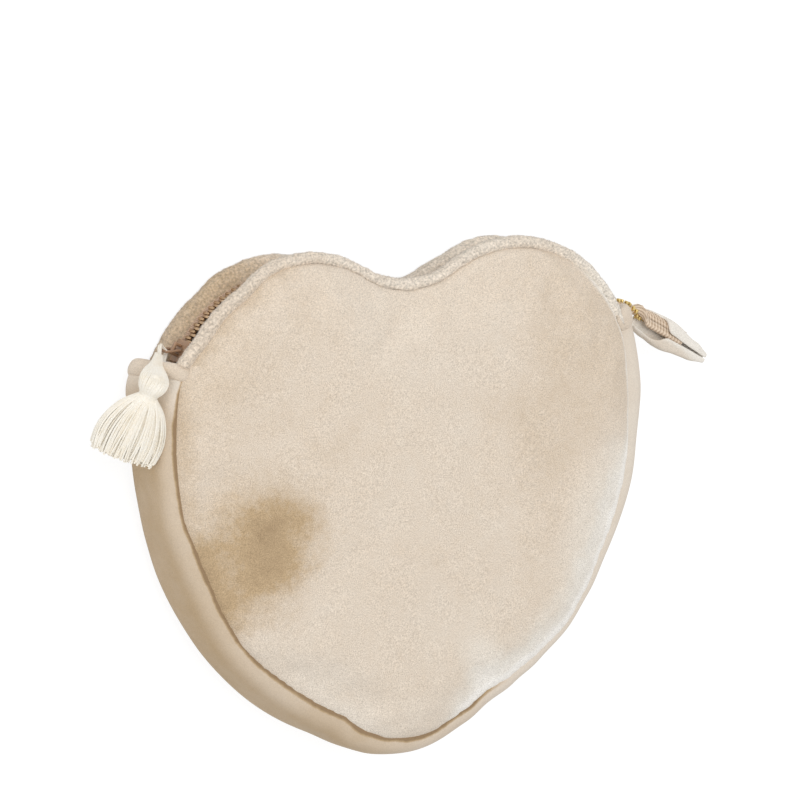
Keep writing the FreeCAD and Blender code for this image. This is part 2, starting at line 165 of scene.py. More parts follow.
def heart_sheet():
    """A flat heart of cloth: rings along the seam, and a square weave of cells inside them."""
    bm = bmesh.new()
    first = bm.verts.new(arc_start(mouth_arcs, 0, 0))
    sweep(bm, [first], mouth_arcs + side_arcs, seam_step)
    bmesh.ops.remove_doubles(bm, verts=bm.verts, dist=0.05 * MM)
    middle = bmesh.ops.contextual_create(bm, geom=bm.edges)["faces"]
    for width in edge_rings:
        bmesh.ops.inset_region(bm, faces=middle, thickness=width, use_even_offset=True)
    for way in (Vector((1, 0, 0)), Vector((0, 1, 0))):
        spot = -heart_reach
        while spot < heart_reach:
            edges = {e for f in middle for e in f.edges}
            verts = {v for f in middle for v in f.verts}
            cut = bmesh.ops.bisect_plane(
                bm, geom=[*middle, *edges, *verts], dist=0.1 * MM, plane_co=way * spot, plane_no=way
            )
            middle = [g for g in cut["geom"] if isinstance(g, bmesh.types.BMFace)]
            spot += cloth_cell
    bmesh.ops.remove_doubles(bm, verts=bm.verts, dist=0.3 * MM)
    face_out(bm)
    return bm


seam_lean = 3.8 * MM


def lean(bm):
    """The purse stands a little skewed: its front sits higher on the heart's line than its back."""
    for v in bm.verts:
        v.co.y += seam_lean * (v.co.z / seam_depth - 0.5)


mouth_fade = 14 * MM


def at_mouth(run):
    """1 along the mouth, falling to 0 at its two ends, where the gusset begins."""
    return ease(min(run, mouth_length - run) / mouth_fade)


# How far out of the pattern's line the front seam was sewn, by its run from the mouth's left end, both in mm
front_wander = [
    (0, 0.4), (14, -2.3), (34, -2.8), (58, 0.2), (80, 0.6), (113, 0.0), (201, -0.4), (243, -0.2),
    (258, 0.0), (291, 1.8), (318, 2.0), (334, 3.6), (348, 4.4), (366, 2.4), (379, 0.9), (392, -1.0),
    (403, 0.3), (426, 2.0), (439, 1.7), (449, 0.8), (462, -2.0), (488, -1.8), (517, -0.2), (531, -0.9),
    (546, -1.8), (560, -1.4), (572, 0.2), (598, 0.8), (619, 1.2), (630, 0.4),
]


def wander(run):
    return between(front_wander, run / MM)[0] * MM


seam_dip = 1.5 * MM
mouth_dip = 1.8 * MM
roll_width = 1.5


def rolled(inset, run):
    """How far below its own face a panel lies where it rolls into its seam."""
    dip = seam_dip + (mouth_dip - seam_dip) * at_mouth(run)
    share = min(max(inset / (roll_width * dip), 0.0), 1.0)
    return dip * (1 - sqrt(1 - (1 - share) ** 2))


class Field:
    """A value that changes over a surface. Sums with numbers and other fields add their Math nodes."""

    def __init__(self, finish, socket):
        self.finish = finish
        self.socket = socket

    def sum(self, operation, first, second):
        return self.finish.node("ShaderNodeMath", {"operation": operation}, {0: first, 1: second})

    def __add__(self, other):
        return self.sum("ADD", self, other)

    __radd__ = __add__

    def __sub__(self, other):
        return self.sum("SUBTRACT", self, other)

    def __rsub__(self, other):
        return self.sum("SUBTRACT", other, self)

    def __mul__(self, other):
        return self.sum("MULTIPLY", self, other)

    __rmul__ = __mul__


class Finish:
    """The nodes of a material, or of the world. Constants sit on the shader's own sockets, and node() makes
    every other node."""

    def __init__(self, name, constants, kind=bpy.data.materials, shader="Principled BSDF"):
        self.owner = kind.new(name)
        self.owner.use_nodes = True
        self.tree = self.owner.node_tree
        self.shader = self.tree.nodes[shader]
        for socket, value in constants.items():
            self.shader.inputs[socket].default_value = value

    def node(self, kind, settings, inputs, output=0):
        made = self.tree.nodes.new(kind)
        for key, value in settings.items():
            if key == "stops":
                ramp = made.color_ramp
                while len(ramp.elements) < len(value):
                    ramp.elements.new(1.0)
                for element, (place, colour) in zip(ramp.elements, value):
                    element.position = place
                    element.color = (*colour, 1)
            else:
                setattr(made, key, value)
        for key, value in inputs.items():
            self.put(made.inputs[key], value)
        return Field(self, made.outputs[output])

    def put(self, socket, value):
        if isinstance(value, Field):
            self.tree.links.new(value.socket, socket)
        else:
            socket.default_value = value

    def paint(self, **fields):
        for name, field in fields.items():
            self.put(self.shader.inputs[name.replace("_", " ")], field)
        return self.owner

    def spot(self):
        return self.node("ShaderNodeTexCoord", {}, {}, "Object")

    def ramp(self, value, *stops):
        return self.node("ShaderNodeValToRGB", {"stops": stops}, {"Fac": value})

    def grain(self, spot, size, detail=3.0, roughness=0.6):
        inputs = {"Vector": spot, "Scale": 1 / size, "Detail": detail, "Roughness": roughness}
        return self.node("ShaderNodeTexNoise", {}, inputs)

    def fade(self, value, start, end):
        """Goes smoothly from 0 where value is start to 1 where it is end."""
        inputs = {"Value": value, "From Min": start, "From Max": end}
        return self.node("ShaderNodeMapRange", {"interpolation_type": "SMOOTHSTEP"}, inputs)

    def bump(self, height, distance, strength=1.0):
        inputs = {"Height": height, "Distance": distance, "Strength": strength}
        return self.node("ShaderNodeBump", {}, inputs)


# Velvet's colour from its nap brushed flat and dark, through its plain face, to the white of a painted sheen.
# Its darker end also serves for painted shade.
nap_colours = [
    (0.0, (0.31, 0.21, 0.12)),
    (0.25, (0.50, 0.365, 0.22)),
    (0.5, (0.715, 0.612, 0.5)),
    (0.75, (0.80, 0.745, 0.665)),
    (1.0, (0.92, 0.885, 0.83)),
]
band_fade = 12 * MM


def velvet(name, nap, marks=(), grain=0.95, clouds=0.14, edges=(), tuft=0.45 * MM):
    """Cut velvet. nap is a piece's place on the ramp, and for the gusset, the lips and the tab it carries
    painted light. marks are places of brushed nap, painted sheen and painted shade: x, y, radius across,
    radius along, turn, softness, change of nap. edges are bands of painted sheen and painted shade along the
    seam: run from, run to, width, change of nap. Lengths are in mm."""
    constants = {"Roughness": 0.85, "Specular IOR Level": 0.15, "Sheen Weight": 0.3, "Sheen Roughness": 0.4}
    finish = Finish(name, {**constants, "Sheen Tint": (1.0, 0.96, 0.9, 1)})
    spot = finish.spot()
    pile = finish.grain(spot, tuft, 1.0, 0.6)
    tufts = finish.grain(spot, 2.6 * MM, 3.0, 0.6)
    brush = finish.grain(spot, 11 * MM, 4.0, 0.65)
    cloud = finish.grain(spot, 42 * MM, 3.0, 0.55)
    value = nap + clouds * (cloud - 0.5) + 0.5 * clouds * (brush - 0.5) + 0.1 * grain * (tufts - 0.5)
    for x, y, across, along, turn, softness, change in marks:
        mark = {
            "Vector": spot, "Location": (x * MM, y * MM, seam_depth),
            "Rotation": (0, 0, radians(turn)), "Scale": (across * MM, along * MM, 1),
        }
        place = finish.node("ShaderNodeMapping", {"vector_type": "TEXTURE"}, mark)
        reach = finish.node("ShaderNodeVectorMath", {"operation": "LENGTH"}, {0: place}, "Value")
        ragged = reach + 0.6 * (brush - 0.5) + 0.5 * (cloud - 0.5) + 0.2 * (tufts - 0.5)
        value = value + change * finish.fade(ragged, 1 + softness, 1 - softness)
    if edges:
        seam = finish.node("ShaderNodeUVMap", {"uv_map": "seam"}, {}, "UV")
        run = finish.node("ShaderNodeSeparateXYZ", {}, {0: seam}, "X")
        inset = finish.node("ShaderNodeSeparateXYZ", {}, {0: seam}, "Y")
        for *lengths, change in edges:
            low, high, width = (length * MM for length in lengths)
            band = finish.fade(inset + 0.8 * width * (brush - 0.5), width, 0.1 * width)
            band = band * finish.fade(run, low - band_fade, low + band_fade)
            value = value + change * band * finish.fade(run, high + band_fade, high - band_fade)
    shade = {0: finish.ramp(value, *nap_colours), "Scale": 1 + grain * (pile - 0.5)}
    colour = finish.node("ShaderNodeVectorMath", {"operation": "SCALE"}, shade)
    normal = finish.bump(pile + 0.5 * tufts, 0.3 * MM, 0.5)
    return finish.paint(Base_Color=colour, Normal=normal)


def add_object(name, data):
    made = bpy.data.objects.new(name, data)
    bpy.context.scene.collection.objects.link(made)
    return made


def add_piece(name, bm, material, body=None, nodes=()):
    """Turn a mesh into a piece that rides on a body and stands for CAD nodes."""
    mesh = bpy.data.meshes.new(name)
    bm.to_mesh(mesh)
    bm.free()
    mesh.materials.append(material)
    mesh.shade_smooth()
    made = add_object(name, mesh)
    if body:
        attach(made, body)
    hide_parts(*nodes)
    return made


def soften(piece, levels=1):
    soft = piece.modifiers.new("smooth", "SUBSURF")
    soft.levels = levels
    soft.render_levels = levels


def thicken(piece, thickness, levels=1):
    """Give a sheet its thickness, inwards, and smooth it."""
    wall = piece.modifiers.new("thickness", "SOLIDIFY")
    wall.thickness = thickness
    wall.offset = -1
    wall.use_even_offset = True
    soften(piece, levels)


velvet_thickness = 1.2 * MM
wadding_thickness = 2 * MM
lining_thickness = 0.6 * MM
layer_gap = 0.15 * MM


def mottled(name, constants, size, detail, stops, depth, strength=1.0):
    """A plain grain that gives both the colour and the relief."""
    finish = Finish(name, constants)
    grain = finish.grain(finish.spot(), size, detail, 0.7)
    return finish.paint(Base_Color=finish.ramp(grain, *stops), Normal=finish.bump(grain, depth, strength))


fibrous = {"Roughness": 0.95, "Specular IOR Level": 0.1, "Sheen Weight": 0.2}
wadding_colours = [(0.25, (0.78, 0.77, 0.74)), (0.75, (0.92, 0.91, 0.89))]
lining_colours = [(0.25, (0.55, 0.45, 0.34)), (0.75, (0.68, 0.57, 0.45))]
wadding_finish = mottled("wadding", fibrous, 4 * MM, 5.0, wadding_colours, 0.4 * MM)
lining_finish = mottled("lining", fibrous, 0.8 * MM, 5.0, lining_colours, 0.4 * MM)


def map_seam(bm, spots):
    """Give a layer its own map: the run along its seam, and the distance from it."""
    whole = mouth_length + side_length
    seam_map = bm.loops.layers.uv.new("seam")
    for face in bm.faces:
        furthest = max(spots[v][0] for v in face.verts)
        for corner in face.loops:
            run, inset = spots[corner.vert]
            corner[seam_map].uv = (run + whole if furthest - run > whole / 2 else run, inset)


settle_frames = 20
least_step = 0.01 * MM


def settle(piece, held, pressure, reach, sink):
    """Let a cloth that is held at its seams fill out, and keep the shape it comes to. It may move out by
    reach, and in by no more than sink, where the wadding stops it."""
    group = piece.vertex_groups.new(name="seam")
    group.add(held, 1.0, "REPLACE")
    cloth = piece.modifiers.new("cloth", "CLOTH")
    cloth.settings.vertex_group_mass = "seam"
    cloth.settings.quality = 6
    cloth.settings.use_pressure = True
    cloth.settings.uniform_pressure_force = pressure
    cloth.settings.shrink_min = -0.02
    cloth.settings.effector_weights.gravity = 0
    cloth.point_cache.frame_start = 1
    cloth.point_cache.frame_end = settle_frames
    for number in range(1, settle_frames + 1):
        bpy.context.scene.frame_set(number)
    filled = piece.evaluated_get(bpy.context.evaluated_depsgraph_get()).data
    steps = [new.co - old.co for new, old in zip(filled.vertices, piece.data.vertices)]
    piece.modifiers.remove(cloth)
    bpy.context.scene.frame_set(1)
    for v, step in zip(piece.data.vertices, steps):
        most = reach if step.dot(v.normal) > 0 else sink
        v.co += step * min(1.0, most / max(step.length, least_step))


wander_reach = 35 * MM


def heart_layer(height, up, depth, trim):
    """One layer of a padded panel that faces up (1) or down (-1). height gives its outer face, depth moves it
    in, and trim cuts its edge back. The front one follows its seam's wander."""
    bm = heart_sheet()
    cut_off = []
    seam_spots = {}
    for v in bm.verts:
        run, out, way = on_seam(v.co.x, v.co.y)
        v.co.z = height(v.co, -out, run) - up * depth
        if up > 0:
            v.co += way * wander(run) * ease(1 + out / wander_reach)
        seam_spots[v] = (run, -out)
        if -out < trim - 0.02 * MM:
            cut_off.append(v)
    map_seam(bm, seam_spots)
    bmesh.ops.delete(bm, geom=cut_off, context="VERTS")
    lean(bm)
    bmesh.ops.reverse_faces(bm, faces=[f for f in bm.faces if f.normal.z * up < 0])
    return bm


def back_face(place, inset, run):
    return rolled(inset, run)


bm = heart_layer(back_face, -1, 0, 0)
back = add_piece("back_velvet", bm, velvet("velvet_back", 0.47), "pouch", ["back_panel"])
thicken(back, velvet_thickness)

# Back wadding and back lining: sewn into the same seam behind the velvet, out of sight.
# The lining is cut a little smaller, so that it lies smooth inside.
heart_trims = (1.4 * MM, 3.4 * MM)
wadding_depth = velvet_thickness + layer_gap
lining_depth = wadding_depth + wadding_thickness + layer_gap
heart_width = 2 * (lobe_x + lobe_radius - heart_trims[1])
heart_length = lobe_y + lobe_radius + tip_radius - tip_y - 2 * heart_trims[1]


def inner_layers(side, make, trims, flat=None):
    """The wadding and the lining behind one piece of velvet. make builds a layer from its depth and trim."""
    for kind, finish, depth, trim, thickness in (
        ("wadding", wadding_finish, wadding_depth, trims[0], wadding_thickness),
        ("lining", lining_finish, lining_depth, trims[1], lining_thickness),
    ):
        bm = make(depth, trim)
        area = sum(f.calc_area() for f in bm.faces)
        layer = add_piece(side + "_" + kind + "_layer", bm, finish, "pouch", [side + "_" + kind])
        thicken(layer, thickness, 0)
        if kind == "wadding":
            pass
        elif flat:
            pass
        else:
            area / side_length


def back_layer(depth, trim):
    return heart_layer(back_face, -1, depth, trim)


inner_layers("back", back_layer, heart_trims, (heart_width, heart_length))

# Front panel: the same heart, padded so that it stands up in a low crown inside its seam.
# Handling has brushed its nap into a dark palm mark at the left. The pale places along the lower edge and
# the right seam are painted sheen, and the darker places on the crown's two sides are painted shade.
crown_height = 4 * MM
crown_width = 24 * MM
ripple_height = 0.5 * MM
ripple_length = 21 * MM
ripple_inset = 9 * MM
pucker_share = 0.7
pucker_length = 6 * MM
pucker_inset = 7 * MM
# Places of brushed nap, painted sheen and painted shade, and bands of painted sheen and painted shade, in
# the order of values that velvet() takes
front_nap_and_light_marks = [
    # The brushed palm mark
    (-60, -8, 19, 15, 18, 0.5, -0.16),
    (-78, -18, 25, 20, 35, 0.6, -0.2),
    (-70, 8, 18, 11, 0, 0.7, -0.06),
    # Painted sheen along the lower edge and the right seam
    (-36, -68, 22, 10, -35, 0.5, 0.05),
    (30, -66, 8, 13, 35, 0.6, 0.14),
    (79, -10, 10, 26, -22, 0.8, 0.15),
    (-8, -84, 30, 9, 0, 0.6, 0.04),
    # Painted shade on the crown's left and right sides
    (-82, 45, 34, 50, 0, 0.95, -0.04),
    (85, 30, 36, 75, 0, 0.95, -0.06),
]
side_from = mouth_length / MM
side_to = side_from + side_length / MM
tip_run = (side_from + side_to) / 2
# Bands along the seam: painted shade beside the lip on the left lobe, painted sheen down the right seam and
# along the lower edge on both sides of the tip, painted shade in the seam's crease on the left and in a band
# along the left seam
front_painted_light_bands = [
    (-20, 62, 9, -0.07),
    (side_from - 30, side_from + 70, 3, 0.45),
    (side_from + 50, tip_run - 22, 19, 0.32),
    (side_from + 45, tip_run - 20, 6, 0.35),
    (tip_run + 12, tip_run + 45, 8, 0.06),
    (tip_run + 4, side_to - 12, 0.6, -0.12),
    (tip_run + 95, side_to - 10, 10, -0.1),
]


def front_face(place, inset, run):
    crown = crown_height * (1 - (1 - min(inset / crown_width, 1.0)) ** 2)
    ripple = noise.noise(Vector((place.x, place.y, 0)) / ripple_length) * ease(inset / ripple_inset)
    near_seam = ease(1 - inset / pucker_inset) * ease(inset / MM)
    pucker = noise.noise(Vector((run / pucker_length, 3.7, 0))) * near_seam
    return seam_depth + crown - rolled(inset, run) + ripple_height * (ripple + pucker_share * pucker)


seam_allowance = 2.5 * MM
bm = heart_layer(front_face, 1, 0, 0)
front_velvet = velvet("velvet_front", 0.52, front_nap_and_light_marks, edges=front_painted_light_bands)
front = add_piece("front_velvet", bm, front_velvet, "pouch", ["front_panel"])
at_seam = []
for v in front.data.vertices:
    inset = -on_seam(v.co.x, v.co.y - 0.5 * seam_lean)[1]
    if inset < seam_allowance:
        at_seam.append(v.index)
settle(front, at_seam, pressure=0.6, reach=2.0 * MM, sink=0.7 * MM)
thicken(front, velvet_thickness)


def front_layer(depth, trim):
    return heart_layer(front_face, 1, depth, trim)


inner_layers("front", front_layer, heart_trims, (heart_width, heart_length))

# Gusset: a long strip of velvet that runs from the right shoulder round the tip to the left one.
# It is seamed to both panels, and its wadding puffs it out between the seams, most near its hemmed ends.
gusset_steps = 18
gusset_run = side_length / MM
gusset_trims = (0.09, 0.15)
# How far the gusset stands out in mm, by its run from the right shoulder in mm
side_puff = [
    (0, 8.4), (22, 9.2), (50, 7.0), (90, 5.4), (118, 3.9), (145, 5.0), (175, 6.8), (215, 7.6), (260, 7.5),
    (310, 6.7), (350, 6.4), (gusset_run, 8.2),
]
hem_puff_back = 12 * MM
hem_puff_front = 4.5 * MM
hem_puff_from_end = 7 * MM
hem_puff_reach = 16 * MM
seam_tuck = 1.6 * MM
roll_height = 0.8 * MM
slack_height = 0.5 * MM
slack_length = 26 * MM


def puff_at(run, share):
    """How far the gusset stands out, by its run from the right shoulder and its share of the way to the
    front."""
    body = between(side_puff, run / MM)[0] * MM
    hem = hem_puff_back + (hem_puff_front - hem_puff_back) * ease((share - 0.2) / 0.4)
    return body + (hem - body) * ease(1 - abs(side_length - run - hem_puff_from_end) / hem_puff_reach)


def puffed(share):
    """Share of the puff across the gusset: steep at both seams and nearly flat between them."""
    return sqrt(1 - (2 * share - 1) ** 4)


def on_gusset(run, share):
    """Where the gusset's velvet lies: how far out of the pattern's line, and how high."""
    slack = slack_height * noise.noise(Vector((run / slack_length, 1.8 * share, 8)))
    puff = (puff_at(run, share) + seam_tuck + slack) * puffed(share) - seam_tuck
    roll = roll_height * ease((share - 0.72) / 0.16) * ease((1 - share) / 0.05)
    height = seam_dip / 2 + share * (seam_depth - seam_dip) + roll
    return puff + wander(mouth_length + run) * share, height


def gusset_layer(depth, trim):
    """One layer of the gusset, moved in by depth, with a share of its width cut off beside each seam."""
    bm = bmesh.new()
    column = []
    for step in range(gusset_steps + 1):
        share = 0.5 - (0.5 - trim) * cos(pi * step / gusset_steps)
        column.append(bm.verts.new(arc_start(side_arcs, 0, share)))
    edges = [bm.edges.new(pair) for pair in zip(column, column[1:])]
    sweep(bm, [*column, *edges], side_arcs, seam_step)
    bmesh.ops.remove_doubles(bm, verts=bm.verts, dist=0.02 * MM)
    seam_spots = {}
    for v in bm.verts:
        run, out, way = on_seam(v.co.x, v.co.y)
        run = min(max(run - mouth_length, 0.0), side_length)
        share = v.co.z
        seam_spots[v] = (run, (1 - share) * seam_depth)
        puff, v.co.z = on_gusset(run, share)
        v.co += way * (puff - depth)
    map_seam(bm, seam_spots)
    lean(bm)
    face_out(bm)
    return bm


# Bands on the gusset: painted sheen beside the front seam, painted shade in the front seam's crease on the
# left, painted sheen over the right side, and painted light at the left end, where the hem shades it.
gusset_painted_light_bands = [
    (0, gusset_run, 8, 0.12),
    (gusset_run / 2 - 40, gusset_run, 0.6, -0.6),
    (-20, gusset_run / 2 - 40, 90, 0.13),
    (-20, gusset_run / 2 + 5, 90, 0.08),
    (gusset_run - 12, gusset_run + 20, 90, 0.34),
]
# The gusset's velvet is set darker than the panels', partly for its nap and partly as painted shade on its
# sides, which face away from the light.
gusset_velvet = velvet("velvet_gusset", 0.26, grain=0.3, clouds=0.2, edges=gusset_painted_light_bands)
bm = gusset_layer(0, 0)
gusset = add_piece("gusset_velvet", bm, gusset_velvet, "pouch", ["gusset"])
thicken(gusset, velvet_thickness)
inner_layers("gusset", gusset_layer, gusset_trims)

# Hems: each end of the gusset is turned over in a rolled band, sewn down just below its fold.
# The two hems close the ends of the mouth.
hem_outline = [
    (-1.4, -1.7), (-1.2, 0.0), (-0.4, 1.3), (1.0, 1.7), (2.4, 1.5), (3.6, 0.9), (4.5, 0.0), (4.7, -1.0),
    (4.6, -3.0), (4.4, -4.8), (2.4, -5.0), (0.2, -4.6), (-0.9, -3.4),
]
hem_steps = 14
hem_share = 0.985
hem_stretch = 11 * MM
hem_lift = 1.2 * MM
hem_wave = 0.25 * MM
hem_wave_length = 4 * MM


def seam_at(run):
    """Point on the heart's outline at a run from the mouth's left end, and the way out there."""
    run %= mouth_length + side_length
    for x, y, radius, start, end, side in mouth_arcs + side_arcs:
        length = abs(end - start) * radius
        if run <= length:
            angle = start + (end - start) * run / length
            way = Vector((cos(angle), sin(angle), 0))
            return Vector((x, y, 0)) + way * radius, way * side
        run -= length
    return seam_at(0)


def closed_ring(bm, points):
    """A ring of points and edges, ready to be carried along."""
    ring = [bm.verts.new(point) for point in points]
    return ring + [bm.edges.new(pair) for pair in zip(ring, ring[1:] + ring[:1])]


def bar(outline, steps, rise):
    """A closed outline in X and Y, carried up Z in steps and closed at both ends."""
    bm = bmesh.new()
    ring = closed_ring(bm, [(x * MM, y * MM, 0) for x, y in outline])
    bmesh.ops.spin(bm, geom=ring, axis=(0, 0, 1), dvec=(0, 0, rise / steps), angle=0, steps=steps)
    bmesh.ops.holes_fill(bm, edges=bm.edges)
    face_out(bm)
    return bm


hem_velvet = velvet("velvet_hem", 0.5, grain=0.6)
for side, start, way, raised in (
    ("right", mouth_length, 1, 4.5 * MM),
    ("left", mouth_length + side_length, -1, 0),
):
    bm = bar(hem_outline, hem_steps, hem_share)
    for v in bm.verts:
        along, out, share = v.co
        share += 0.005
        along *= 1 + raised / hem_stretch
        along -= raised * (0.3 + 0.7 * ease((share - 0.62) / 0.15))
        point, outward = seam_at(start + way * along)
        from_end = max(along, 0.0)
        puff, z = on_gusset(from_end if way > 0 else side_length - from_end, share)
        wave = hem_wave * noise.noise(Vector((share * 6, along / hem_wave_length, start)))
        v.co = point + outward * (out + puff + wave)
        v.co.z = z + hem_lift * ease((share - 0.85) / 0.14)
    lean(bm)
    face_out(bm)
    hem = add_piece(side + "_hem", bm, hem_velvet, "pouch", [side + "_gusset_binding"])
    soften(hem)

# Lips: a folded velvet band along each side of the mouth, sewn to the panel's edge and faced inside.
# They stand close together in the middle of the mouth and spread towards its ends.
lip_outline = [
    (-3.0, 27.4), (-0.8, 28.6), (0.6, 29.6), (2.0, 29.9), (3.4, 29.4), (4.4, 28.3), (4.8, 26.9), (4.5, 25.2),
    (3.4, 23.8), (1.2, 22.8), (-1.2, 21.8), (-3.2, 20.9), (-4.0, 20.9), (-4.1, 22.5), (-3.6, 24.6),
]


def mouth_strip(outline, step):
    """A closed outline of outward and upward distances, carried along the mouth and closed at both ends."""
    bm = bmesh.new()
    ring = closed_ring(bm, [arc_start(mouth_arcs, out * MM, z * MM) for out, z in outline])
    sweep(bm, ring, mouth_arcs, step)
    bmesh.ops.remove_doubles(bm, verts=bm.verts, dist=0.01 * MM)
    bmesh.ops.holes_fill(bm, edges=bm.edges)
    face_out(bm)
    return bm


# Each lip by its run along the mouth in mm: share of its full height, then how far in it is sewn and how far
# it stands apart from the other, both in mm
front_lip_rows = [
    (0, 0.7, 0.3, 2.6), (16, 0.72, 0.4, 2.8), (34, 0.75, 0.4, 2.4), (54, 0.85, 0.3, 1.0),
    (70, 0.9, 0.0, 0.0), (88, 0.78, 0.0, 0.0), (110, 0.95, 0.0, -0.3), (130, 0.75, 0.0, 0.2),
    (165, 0.95, 0.0, 0.3), (190, 0.85, 0.0, 0.8), (208, 0.65, 0.0, 1.2), (227, 0.5, 0.0, 1.6),
]
back_lip_rows = [
    (0, 0.4, 0.6, 0.5), (28, 0.4, 0.9, 0.3), (48, 0.75, 0.3, 0.0), (66, 0.85, 0.0, 0.0),
    (80, 0.65, 0.0, 0.0), (113, 0.5, 0.3, 0.0), (142, 0.35, 1.0, 0.0), (165, 0.9, 0.0, 0.0),
    (185, 1.0, 0.0, 0.0), (227, 0.6, 0.0, 0.4),
]
lip_wave = 0.35 * MM
crumb_size = 0.55 * MM
crumb_length = 2.2 * MM
lip_tuft = 0.9 * MM
lip_rest = 0.6 * MM
# The same crumbs each run
noise.seed_set(3)


def lip_place(bm, way, rows, seed):
    """Set a lip as its rows say, with soft waves and crumbs, and keep it off the ground."""
    for v in bm.verts:
        run, out, outward = on_seam(v.co.x, v.co.y)
        tall, sewn_in, apart = between(rows, run / MM)
        wave = noise.noise(Vector((run / (7 * MM), v.co.z / (6 * MM), seed)))
        roll = noise.noise(Vector((run / (13 * MM), out / (5 * MM), seed + 5)))
        step = max(out, 0.0) * (tall - 1) - sewn_in * MM + lip_wave * wave * ease(out / (3 * MM))
        if way > 0:
            step += wander(run)
        crumb = noise.noise_vector(v.co / crumb_length) * crumb_size * ease((out + MM) / MM)
        v.co += outward * step + crumb
        v.co.z = max(v.co.z + way * apart * MM + lip_wave * roll, lip_rest)
    lean(bm)


pile_count = 26000
pile_length = 0.75 * MM
pile_radius = 0.05 * MM
pile_batch = 120
random.seed(5)


def join(bm, other):
    spare = bpy.data.meshes.new("joined")
    other.to_mesh(spare)
    other.free()
    bm.from_mesh(spare)
    bpy.data.meshes.remove(spare)


def add_pile(piece, body, material):
    """Tufts of the velvet's pile standing up from a piece, so that its edge is soft to look at. Faces and
    their corners are put in a fixed order, so that the tufts are the same each run."""
    mesh = piece.data
    faces = [face for face in mesh.polygons if len(face.vertices) == 4]
    faces.sort(key=lambda face: face.center[:])
    faces = random.choices(faces, [face.area for face in faces], k=pile_count)
    bm = bmesh.new()
    for start in range(0, pile_count, pile_batch):
        batch = bmesh.new()
        for face in faces[start:start + pile_batch]:
            corners = [mesh.vertices[i].co for i in face.vertices]
            first = corners.index(min(corners, key=lambda corner: corner[:]))
            corners = corners[first:] + corners[:first]
            across, along = random.random(), random.random()
            spot = corners[0].lerp(corners[1], across).lerp(corners[-1].lerp(corners[2], across), along)
            loose = Vector([random.uniform(-0.8, 0.8) for _ in range(3)])
            turn = (face.normal + loose).to_track_quat("Z", "Y").to_matrix().to_4x4()
            tall = pile_length * random.uniform(0.6, 1.0)
            place = Matrix.Translation(spot) @ turn @ Matrix.Translation((0, 0, 0.3 * tall))
            bmesh.ops.create_cone(
                batch, cap_ends=True, segments=3, radius1=pile_radius, radius2=0, depth=tall, matrix=place
            )
        join(bm, batch)
    return add_piece(piece.name + "_pile", bm, material, body)


# Both lips are set paler than the panels: painted sheen on their tops, and on the back lip painted light
# where it lies in shadow. Each is darker at the left, which on the back lip is painted shade, and paler at
# the right shoulder.
for side, way, nap, rows, left_darkening in (
    ("front", 1, 0.6, front_lip_rows, -0.08),
    ("back", -1, 0.6, back_lip_rows, -0.28),
):
    outline = lip_outline if way > 0 else [(out, seam_depth / MM - z) for out, z in lip_outline]
    bm = mouth_strip(outline, 1.2 * MM)
    lip_place(bm, way, rows, 11 + way)
    lip_marks = [(-85, 75, 48, 48, 0, 0.5, left_darkening), (98, 62, 30, 40, 0, 0.6, 0.12)]
    lip_velvet = velvet("velvet_" + side + "_lip", nap, lip_marks, grain=1.2, tuft=lip_tuft)
    lip = add_piece(side + "_velvet_lip", bm, lip_velvet, "pouch", [side + "_lip"])
    # The pile is set paler than its lip, a painted sheen on the fuzz.
    lip_pile = velvet("pile_" + side + "_lip", nap + 0.18, lip_marks, grain=1.3, tuft=lip_tuft)
    add_pile(lip, "pouch", lip_pile)
    soften(lip)

# Zip tapes: woven tape sewn behind each lip, with its edge in the teeth.
# It is closely ribbed, and browner than the velvet.
tape_out = -4.15
tape_in = -4.85
# A wave node's scale times the length of one of its waves
wave_scale = 0.314


def woven_tape(name, dark, light, rib, ribs="X"):
    """Closely woven tape. Its own map runs along the tape and across it."""
    finish = Finish(name, {"Roughness": 0.85, "Specular IOR Level": 0.2, "Sheen Weight": 0.15})
    waves = {"Vector": finish.node("ShaderNodeUVMap", {}, {}, "UV"), "Scale": wave_scale / rib}
    along = finish.node("ShaderNodeTexWave", {"bands_direction": ribs}, waves)
    across = finish.node("ShaderNodeTexWave", {"bands_direction": "Y"}, waves)
    left_darkening = finish.grain(finish.spot(), 6 * MM, 4.0)
    weave = 0.65 * along + 0.35 * across
    colour = finish.ramp(0.8 * weave + 0.3 * left_darkening, (0.0, dark), (0.9, light))
    return finish.paint(Base_Color=colour, Normal=finish.bump(weave, 0.25 * MM))


def map_strip(piece, place):
    """Give a strip its own map, in metres along it and across it."""
    layer = piece.data.uv_layers.new(name="strip")
    for loop in piece.data.loops:
        layer.data[loop.index].uv = place(piece.data.vertices[loop.vertex_index].co)


tape_weave = woven_tape("tape_weave", (0.34, 0.21, 0.13), (0.74, 0.54, 0.40), 0.8 * MM)
for side, low, high in (("front", 18.4, 27.4), ("back", 3.6, 12.6)):
    middle = (low + high) / 2
    outline = [(tape_in, low), (tape_out, low), (tape_out, middle), (tape_out, high), (tape_in, high)]
    bm = mouth_strip(outline, 2 * MM)
    tape = add_piece(side + "_woven_tape", bm, tape_weave, "pouch", [side + "_zip_tape"])
    map_strip(tape, lambda spot: (on_seam(spot.x, spot.y)[0], spot.z))

# Zip teeth, top stops, slider, bail and pull ring: small castings with rounded edges.
# The teeth are brass, clamped on the tapes' edges; those in the mouth and the top stops are painted darker,
# as painted shade. The slider, its bail and its pull ring are coloured brown like the tape.
sharp_angle = radians(35)
flat_angle = radians(0.1)


